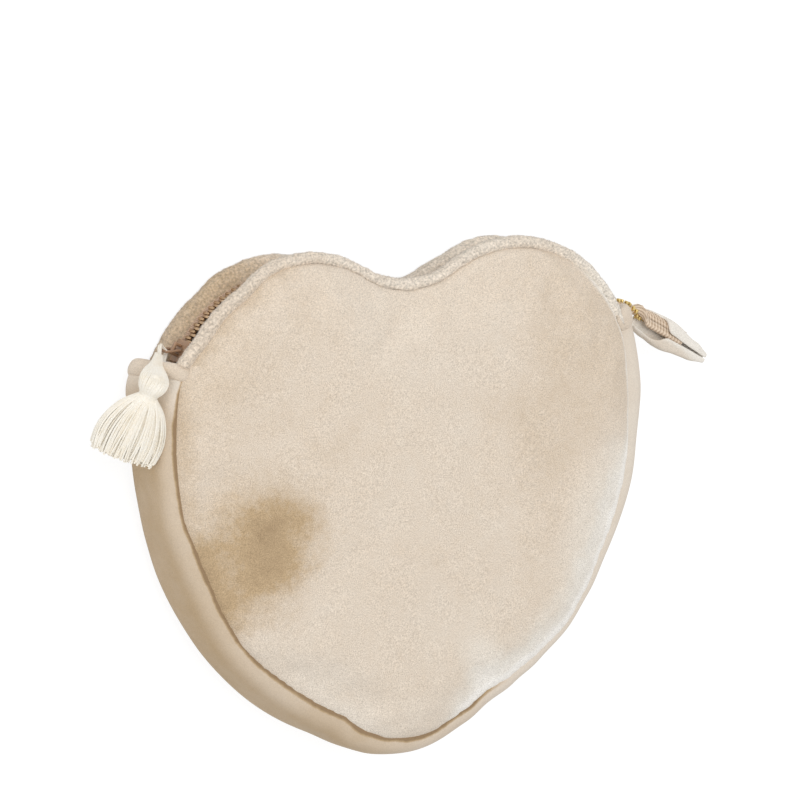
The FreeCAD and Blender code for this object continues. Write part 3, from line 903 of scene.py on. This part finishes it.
def brass(name, dark, bright):
    """Brass with tarnish in clouds, and fine scratches."""
    finish = Finish(name, {"Metallic": 1.0})
    spot = finish.spot()
    tarnish = finish.grain(spot, 3 * MM, 5.0, 0.65)
    scratch = finish.grain(spot, 0.5 * MM, 2.0)
    return finish.paint(
        Base_Color=finish.ramp(tarnish, (0.3, dark), (0.65, bright)),
        Roughness=0.24 + 0.3 * (1 - tarnish),
        Normal=finish.bump(scratch, 0.05 * MM, 0.4),
    )


zip_brass = brass("zip_brass", (0.42, 0.29, 0.10), (0.80, 0.62, 0.27))
# Darker brass for the teeth and stops in the mouth: painted shade for the mouth's inside.
aged_brass = brass("aged_brass", (0.32, 0.20, 0.11), (0.54, 0.38, 0.23))
lacquered = {"Metallic": 0.0, "Roughness": 0.5, "Coat Weight": 0.1, "Coat Roughness": 0.3}
# The slider's colours: browns like the tape's middle tone.
slider_colours = [(0.45, (0.32, 0.19, 0.11)), (0.75, (0.512, 0.304, 0.176))]
slider_lacquer = mottled("slider_lacquer", lacquered, 2.5 * MM, 4.0, slider_colours, 0.03 * MM, 0.5)


def round_edges(bm, edges, width, clamp=False):
    bmesh.ops.bevel(
        bm, geom=edges, offset=width, segments=2, profile=0.5, affect="EDGES", material=-1,
        clamp_overlap=clamp,
    )


def rounded_copy(node, width):
    """A casting's own shape with its edges rounded off."""
    bm = bmesh.new()
    bm.from_mesh(frame["nodes"][node].data)
    bmesh.ops.remove_doubles(bm, verts=bm.verts, dist=0.005 * MM)
    bmesh.ops.dissolve_limit(bm, angle_limit=flat_angle, verts=bm.verts, edges=bm.edges)
    sharp = [e for e in bm.edges if len(e.link_faces) == 2 and e.calc_face_angle() > sharp_angle]
    round_edges(bm, sharp, width, clamp=True)
    return bm


for node, width, body, finish in (
    ("front_zip_teeth", 0.22 * MM, "pouch", aged_brass),
    ("back_zip_teeth", 0.22 * MM, "pouch", aged_brass),
    ("zip_top_stops", 0.3 * MM, "pouch", aged_brass),
    ("slider_body", 0.3 * MM, "slider", slider_lacquer),
    ("slider_bail", 0.25 * MM, "slider", slider_lacquer),
    ("pull_ring", 0.02 * MM, "pull", slider_lacquer),
):
    add_piece(node + "_casting", rounded_copy(node, width), finish, body, [node])

# Bartacks: dense stitches across the zip at each end of the mouth.
# Each is a row of short threads, side by side.
thread_radius = 0.24 * MM
bartack_threads = 7
bartack_width = 1.1 * MM
bartack_dip = 0.4 * MM


def spun_thread(name, shadow, light, twist):
    """Spun thread: fine fibres and small changes of shade."""
    finish = Finish(name, {"Roughness": 0.9, "Specular IOR Level": 0.15, "Sheen Weight": 0.3})
    spot = finish.spot()
    fibre = finish.grain(spot, twist, 3.0, 0.7)
    patch = finish.grain(spot, 7 * MM, 2.0)
    colour = finish.ramp(0.6 * fibre + 0.4 * patch, (0.3, shadow), (0.6, light))
    return finish.paint(Base_Color=colour, Normal=finish.bump(fibre, 0.15 * MM, 0.7))


def threads(routes, radius, fineness=3):
    """Round threads along smooth routes, closed at their ends, as one mesh. Without a radius, lines."""
    curve = bpy.data.curves.new("threads", "CURVE")
    curve.dimensions = "3D"
    for route in routes:
        spline = curve.splines.new("NURBS")
        spline.points.add(len(route) - 1)
        for point, place in zip(spline.points, route):
            point.co = (*place, 1)
        spline.order_u = 3
        spline.use_endpoint_u = True
    curve.bevel_depth = radius
    curve.bevel_resolution = 1
    curve.resolution_u = fineness
    curve.use_fill_caps = True
    holder = add_object("threads", curve)
    built = holder.evaluated_get(bpy.context.evaluated_depsgraph_get())
    bm = bmesh.new()
    bm.from_mesh(bpy.data.meshes.new_from_object(built))
    bpy.data.objects.remove(holder)
    return bm


sewing_thread = spun_thread("sewing_thread", (0.45, 0.34, 0.24), (0.66, 0.54, 0.42), 0.5 * MM)
for side in ("left", "right"):
    low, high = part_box(side + "_bartack")
    middle = (low + high) / 2
    run = on_seam(middle.x, middle.y)[0]
    routes = []
    for number in range(bartack_threads):
        shift = (number / (bartack_threads - 1) - 0.5) * bartack_width
        point, outward = seam_at(run + shift)
        face = point + outward * (tape_out + 0.35) * MM
        stitch = (
            (low.z, -bartack_dip), (low.z + bartack_dip, 0.2 * MM), (middle.z, 0.3 * MM),
            (high.z - bartack_dip, 0.2 * MM), (high.z, -bartack_dip),
        )
        routes.append([Vector((face.x, face.y, z)) + outward * out for z, out in stitch])
    bm = threads(routes, thread_radius)
    add_piece(side + "_bartack_stitches", bm, sewing_thread, "pouch", [side + "_bartack"])

# Tassel: a bundle of ivory cotton threads folded over its hanging loop and bound at the neck.
# The threads draw together over a teardrop head and fan out below the neck into a cut skirt.
cotton = spun_thread("ivory_cotton", (0.86, 0.78, 0.64), (0.95, 0.91, 0.83), 0.6 * MM)
random.seed(7)


def joint_place(name):
    return Vector(next(j["pos_m"] for j in frame["joints"] if j["name"] == name))


def heading(angle, rise=0.0):
    """A way by its angle round Z and its rise, in degrees."""
    turn, lift = radians(angle), radians(rise)
    return Vector((cos(turn) * cos(lift), sin(turn) * cos(lift), sin(lift)))


tassel_hinge = joint_place("tassel_swing")
hang_angle = 250.4
loop_way = heading(219.3, 49.5)
hang_way = heading(hang_angle, -14.1)
head_reach = 22.35 * MM
head_shift = Vector((-0.6, 1.6, -0.7)) * MM
head_middle = tassel_hinge + loop_way * head_reach + head_shift
head_radius = 4.6 * MM
head_bottom = 5.6 * MM
neck_radius = 2.9 * MM
neck_length = 2 * MM
skirt_length = 23 * MM
fan_way = heading(hang_angle + 90)
fan_slope = radians(12)
wide_way = fan_way * cos(fan_slope) + hang_way.cross(fan_way) * sin(fan_slope)
thin_way = hang_way.cross(wide_way)
neck_spot = head_middle + hang_way * head_bottom


def round_tassel(turn, wide, thin):
    """A step out from the tassel's own line."""
    return wide_way * cos(turn) * wide + thin_way * sin(turn) * thin


# The head's threads start where the loop leaves the pull, and end under the neck's wrap
head_threads = 60
head_thread_radius = 0.36 * MM
head_shape = [(-17.0, 1.3), (-13.0, 1.8), (-8.6, 2.8), (-4.8, 4.6), (-0.6, 5.4)]
bm = bmesh.new()
bmesh.ops.create_uvsphere(bm, u_segments=24, v_segments=16, radius=0.55 * head_radius)
bmesh.ops.translate(bm, verts=bm.verts, vec=head_middle)
routes = []
for number in range(head_threads):
    turn = tau * (number + random.uniform(-0.3, 0.3)) / head_threads
    bow = random.uniform(0.94, 1.04) * MM
    route = []
    for step, (along, radius) in enumerate(head_shape):
        out = round_tassel(turn + 0.12 * step, radius * bow, radius * bow)
        route.append(head_middle + loop_way * along * MM + out)
    low = head_middle + hang_way * 3.2 * MM
    route.append(low + round_tassel(turn + 0.6, 4.8 * bow, 4.8 * bow))
    at_neck = neck_spot + round_tassel(turn + 0.65, neck_radius, neck_radius)
    route.append(at_neck)
    route.append(at_neck + hang_way * neck_length)
    routes.append(route)
join(bm, threads(routes, head_thread_radius))
add_piece("tassel_head_threads", bm, cotton, "tassel", ["tassel_head"])

# The loop's two plies go round the pull's outer bar. Each row: mm along the loop, and share of its half width
loop_shape = [(6, 0.7), (0, 1), (-1.9, 1), (-1.9, -1), (0, -1), (6, -0.7)]
loop_radius = 1.9 * MM
loop_thread_radius = 0.55 * MM
loop_side = Vector((0, 0, 1)).cross(loop_way).normalized()
routes = []
for ply in (-1, 1):
    shift = loop_way.cross(loop_side) * ply * 0.4 * MM
    near = loop_side * loop_radius + shift
    end = loop_way * 13 * MM + loop_side * 0.5 * MM + shift
    round_pull = [tassel_hinge + loop_way * along * MM + near * side for along, side in loop_shape]
    routes.append([tassel_hinge + end, *round_pull, tassel_hinge + end - loop_side * MM])
bm = threads(routes, loop_thread_radius, 5)
add_piece("tassel_hanging_loop", bm, cotton, "tassel", ["tassel_loop"])

# The neck's wrap goes round all the threads
neck_turns = 4
wrap_points = 12
wrap_thread_radius = 0.32 * MM
wrap_radius = neck_radius + 0.55 * MM
routes = [[]]
for step in range(neck_turns * wrap_points + 1):
    turn = tau * step / wrap_points
    along = hang_way * (neck_length * step / (neck_turns * wrap_points))
    routes[0].append(neck_spot + along + round_tassel(turn, wrap_radius, wrap_radius))
bm = threads(routes, wrap_thread_radius)
add_piece("tassel_neck_wrap", bm, cotton, "tassel", ["tassel_binding"])

# The skirt's threads swell out just below the neck, and were cut off level
skirt_threads = 560
skirt_clumps = 13
skirt_thread_radius = 0.42 * MM
skirt_spot = neck_spot + hang_way * neck_length
# Each row: share of its length, half width and half thickness in mm
skirt_shape = [
    (-0.08, 2.6, 2.5), (0.03, 5.8, 4.4), (0.2, 9.0, 5.2), (0.5, 11.8, 5.8), (0.8, 13.0, 5.8),
    (1.0, 12.6, 5.4),
]
routes = []
for number in range(skirt_threads):
    turn = 2.4 * number
    turn += 0.5 * sin(skirt_clumps * turn) / skirt_clumps
    depth = sqrt(0.2 + 0.8 * number / skirt_threads) * MM
    length = skirt_length * random.uniform(0.93, 1.03)
    sway = random.uniform(-1.2, 1.2) * MM
    lift = random.uniform(-0.9, 0.9) * MM
    route = []
    for share, wide, thin in skirt_shape:
        bend = wide_way * sway * sin(3 * share) + thin_way * lift * sin(2.2 * share)
        out = round_tassel(turn, wide * depth, thin * depth)
        route.append(skirt_spot + hang_way * share * length + bend + out)
    routes.append(route)
bm = threads(routes, skirt_thread_radius)
add_piece("tassel_skirt_threads", bm, cotton, "tassel", ["tassel_skirt"])

# Zip tail: the zip's spare end, folded along its teeth, leaves the right shoulder and turns over once.
# Two woven leaves lie back to back behind one row of brass teeth.
tail_route = [
    (89.4, 61.4), (94.0, 64.2), (99.0, 66.4), (104.0, 66.4), (109.0, 64.2), (114.5, 60.9), (120.5, 57.8),
    (127.0, 54.2), (135.0, 49.4),
]
tail_height = joint_place("tail_swing").z
bm = threads([[(x * MM, y * MM, tail_height) for x, y in tail_route]], 0, 6)
tail_line = [v.co.copy() for v in bm.verts]
bm.free()
tail_marks = [0.0]
for a, b in zip(tail_line, tail_line[1:]):
    tail_marks.append(tail_marks[-1] + (b - a).length)
tail_length = tail_marks[-1]
twist_from = 18 * MM
twist_to = 33 * MM
twist_turn = 1.5 * pi
spread_from = 24 * MM
spread_length = 8 * MM


def tail_frame(along):
    """Place on the tail's line, with the ways along it, towards its teeth, and out of its face."""
    along = min(max(along, 0.0), tail_length)
    index = max(i for i, mark in enumerate(tail_marks[:-1]) if mark <= along)
    a, b = tail_line[index], tail_line[index + 1]
    share = (along - tail_marks[index]) / (tail_marks[index + 1] - tail_marks[index])
    ahead = (tail_line[min(index + 2, len(tail_line) - 1)] - tail_line[max(index - 1, 0)]).normalized()
    up = Vector((0, 0, 1)).cross(ahead)
    turn = twist_turn * ease((along - twist_from) / (twist_to - twist_from))
    teeth_way = up * cos(turn) + Vector((0, 0, 1)) * sin(turn)
    return a.lerp(b, share), ahead, teeth_way, ahead.cross(teeth_way)


def onto_tail(bm):
    """Bend what was made straight along Z onto the tail's line: X is out of its face, Y towards its teeth.
    Past its twist the folded tape spreads open in the tab."""
    for v in bm.verts:
        place, ahead, teeth_way, face_way = tail_frame(v.co.z)
        spread = ease((v.co.z - spread_from) / spread_length)
        wide = face_way * v.co.x * (1 + 0.7 * spread)
        v.co = place + wide + teeth_way * v.co.y * (1 - 0.65 * spread)
    face_out(bm)


tail_weave = woven_tape("tail_weave", (0.38, 0.25, 0.15), (0.90, 0.74, 0.58), 0.8 * MM, "DIAGONAL")
leaf_outline = [(0.02, -4.2), (1.1, -4.2), (1.8, -3.0), (1.9, -1.2), (1.2, 0.6), (0.02, 1.0)]
leaf_steps = 44
bm = bar(leaf_outline, leaf_steps, tail_length)
join(bm, bar([(-x, y) for x, y in reversed(leaf_outline)], leaf_steps, tail_length))
strip_map = bm.loops.layers.uv.new("strip")
for face in bm.faces:
    for corner in face.loops:
        corner[strip_map].uv = (corner.vert.co.z, corner.vert.co.y + corner.vert.co.x)
onto_tail(bm)
tape_nodes = ["tail_root_tape", "tail_tape"]
tail_tape = add_piece("tail_woven_tape", bm, tail_weave, None, tape_nodes)
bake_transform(tail_tape)

tooth_pitch = 1.75 * MM
tooth_size = (1.9 * MM, 1.6 * MM, 1.1 * MM)
tooth_out = 1.35 * MM
tooth_stagger = 0.3 * MM
teeth_from = 1.5 * MM
teeth_end = 8 * MM
clip_size = (3 * MM, 3 * MM, 2 * MM)
clip_end = 5 * MM


def add_block(bm, along, face_shift, teeth_shift, size, edge):
    """A block with rounded edges on the tail's line, moved out of its face and towards its teeth."""
    place, ahead, teeth_way, face_way = tail_frame(along)
    turn = Matrix((face_way, teeth_way, ahead)).transposed().to_4x4()
    middle = place + teeth_way * teeth_shift + face_way * face_shift
    shape = Matrix.Translation(middle) @ turn @ Matrix.Diagonal((*size, 1))
    block = bmesh.ops.create_cube(bm, size=1, matrix=shape)
    edges = {e for v in block["verts"] for e in v.link_edges}
    round_edges(bm, list(edges), edge)


bm = bmesh.new()
spot = teeth_from
row = 1
while spot < tail_length - teeth_end:
    add_block(bm, spot, row * tooth_stagger, tooth_out, tooth_size, 0.28 * MM)
    row = -row
    spot += tooth_pitch
teeth_nodes = ["tail_root_teeth", "tail_teeth"]
tail_teeth = add_piece("tail_brass_teeth", bm, zip_brass, None, teeth_nodes)
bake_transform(tail_teeth)
bm = bmesh.new()
add_block(bm, tail_length - clip_end, 0, MM, clip_size, 0.4 * MM)
add_piece("tail_end_clip", bm, zip_brass, "tail", ["tail_bottom_stop"])

# Tail tab: a leaf of velvet folded round the tail's end like a pod.
# It is open towards the front where the zip goes in, and its two flaps meet beyond the zip's end.
tab_from = Vector((112.6 * MM, 60.0 * MM, tail_height))
tab_to = Vector((146.0 * MM, 40.6 * MM, tail_height))
# Each row: share of its length, half width and half thickness in mm, and how far the near and the far flap
# stay open in degrees
tab_shape = [
    (0.0, 4.8, 2.6, 46, 92), (0.2, 6.0, 2.9, 42, 86), (0.3, 6.5, 3.0, 30, 60), (0.43, 6.3, 2.9, 2, 3),
    (0.8, 4.2, 2.2, 1, 1), (1.0, 2.2, 1.4, 1, 1),
]
tab_squareness = 0.6
tab_wobble = 0.07
tab_thickness = 1.1 * MM
tab_ahead = (tab_to - tab_from).normalized()
tab_up = Vector((0, 0, 1)).cross(tab_ahead)
tab_length = (tab_to - tab_from).length
bm = bmesh.new()
bmesh.ops.create_grid(bm, x_segments=30, y_segments=26, size=0.5)
for v in bm.verts:
    round_share, share = v.co.x + 0.5, v.co.y + 0.5
    wide, thick, near_gap, far_gap = between(tab_shape, share)
    turn = radians(90 + near_gap + round_share * (360 - near_gap - far_gap))
    wobble = 1 + tab_wobble * noise.noise(Vector((round_share * 4, share * 6, 2)))
    side = copysign(abs(cos(turn)) ** tab_squareness, cos(turn)) * wide * wobble * MM
    rise = copysign(abs(sin(turn)) ** tab_squareness, sin(turn)) * thick * wobble * MM
    v.co = tab_from + tab_ahead * (share * tab_length) + tab_up * side + Vector((0, 0, rise))
face_out(bm)
# The tab is set near white, a painted sheen, with painted shade along its underside, which faces away from
# the light.
tab_underside_shade = [(129, 45.5, 13, 2.6, -30, 0.5, -0.25)]
tab_area = sum(f.calc_area() for f in bm.faces)
tab_velvet = velvet("velvet_tab", 0.84, tab_underside_shade, grain=0.5)
tab = add_piece("tail_velvet_tab", bm, tab_velvet, "tail", ["tail_tab"])
thicken(tab, tab_thickness)
tab_area / tab_length

# Floor and light: a plain white sweep, as in a product picture, with soft light from above and from the left.
# What the camera sees of the floor and the world is white, and the light they throw on the purse is weaker.
floor_half = 3.0
bm = bmesh.new()
bmesh.ops.create_grid(bm, x_segments=1, y_segments=1, size=floor_half)
floor_mesh = bpy.data.meshes.new("floor")
bm.to_mesh(floor_mesh)
bm.free()
add_object("floor", floor_mesh)


def seen_straight(finish):
    """1 for what the camera sees itself, in a reflection or through a clear surface."""
    seen = finish.node("ShaderNodeLightPath", {}, {}, "Is Camera Ray")
    for name in ("Is Glossy Ray", "Is Transmission Ray"):
        ray = finish.node("ShaderNodeLightPath", {}, {}, name)
        seen = seen.sum("MAXIMUM", seen, ray)
    return seen


paper = Finish("white_paper", {})
shaded = paper.node("ShaderNodeBsdfDiffuse", {}, {"Color": (0.75, 0.75, 0.75, 1)})
dim = paper.node("ShaderNodeBsdfDiffuse", {}, {"Color": (0.25, 0.25, 0.25, 1)})
glow = paper.node("ShaderNodeEmission", {}, {"Strength": 0.85})
shown = paper.node("ShaderNodeAddShader", {}, {0: dim, 1: glow})
choose = paper.node("ShaderNodeMixShader", {}, {0: seen_straight(paper), 1: shaded, 2: shown})
paper.put(paper.tree.nodes["Material Output"].inputs["Surface"], choose)
floor_mesh.materials.append(paper.owner)

studio = Finish("studio", {"Color": (1, 1, 1, 1)}, bpy.data.worlds, "Background")
levels = {"Value": seen_straight(studio), "To Min": 0.7, "To Max": 1.0}
bpy.context.scene.world = studio.paint(Strength=studio.node("ShaderNodeMapRange", {}, levels))


def add_lamp(name, place, aim, size, power):
    """A round soft light that looks at a place."""
    light = bpy.data.lights.new(name, "AREA")
    light.shape = "DISK"
    light.size = size
    light.energy = power
    lamp = add_object(name, light)
    lamp.location = place
    lamp.rotation_euler = (Vector(aim) - Vector(place)).to_track_quat("-Z", "Y").to_euler()


add_lamp("key", (-0.1, 0.7, 1.4), (0, 0, 0.02), 1.0, 8.0)
add_lamp("left_fill", (-1.2, 0.1, 0.6), (0, 0, 0.02), 0.8, 2.5)

# Camera: the picture's view, from a little above the middle of the front panel and well to its left.
# The heart's own line is upright in the picture, and the purse sits below the picture's middle.
view_yaw = radians(30.8)
view_pitch = radians(10.4)
view_distance = 1399 * MM
view_right = Vector((cos(view_yaw), 0, sin(view_yaw)))
view_back = Vector((-sin(view_yaw), tan(view_pitch), cos(view_yaw))).normalized()
view_up = view_back.cross(view_right)
seen_spot = Vector((0, seam_lean / 2, seam_depth))
frame_left = 4.756 * MM
frame_up = 37.18 * MM
frame_middle = seen_spot - frame_left * view_right + frame_up * view_up
camera_data = bpy.data.cameras.new("camera")
camera_data.lens = 165.5
camera_data.sensor_width = 36
camera = add_object("camera", camera_data)
camera.matrix_world = Matrix((view_right, view_up, view_back)).transposed().to_4x4()
camera.location = frame_middle + view_distance * view_back
bpy.context.scene.camera = camera
bpy.context.scene.view_settings.view_transform = "Standard"
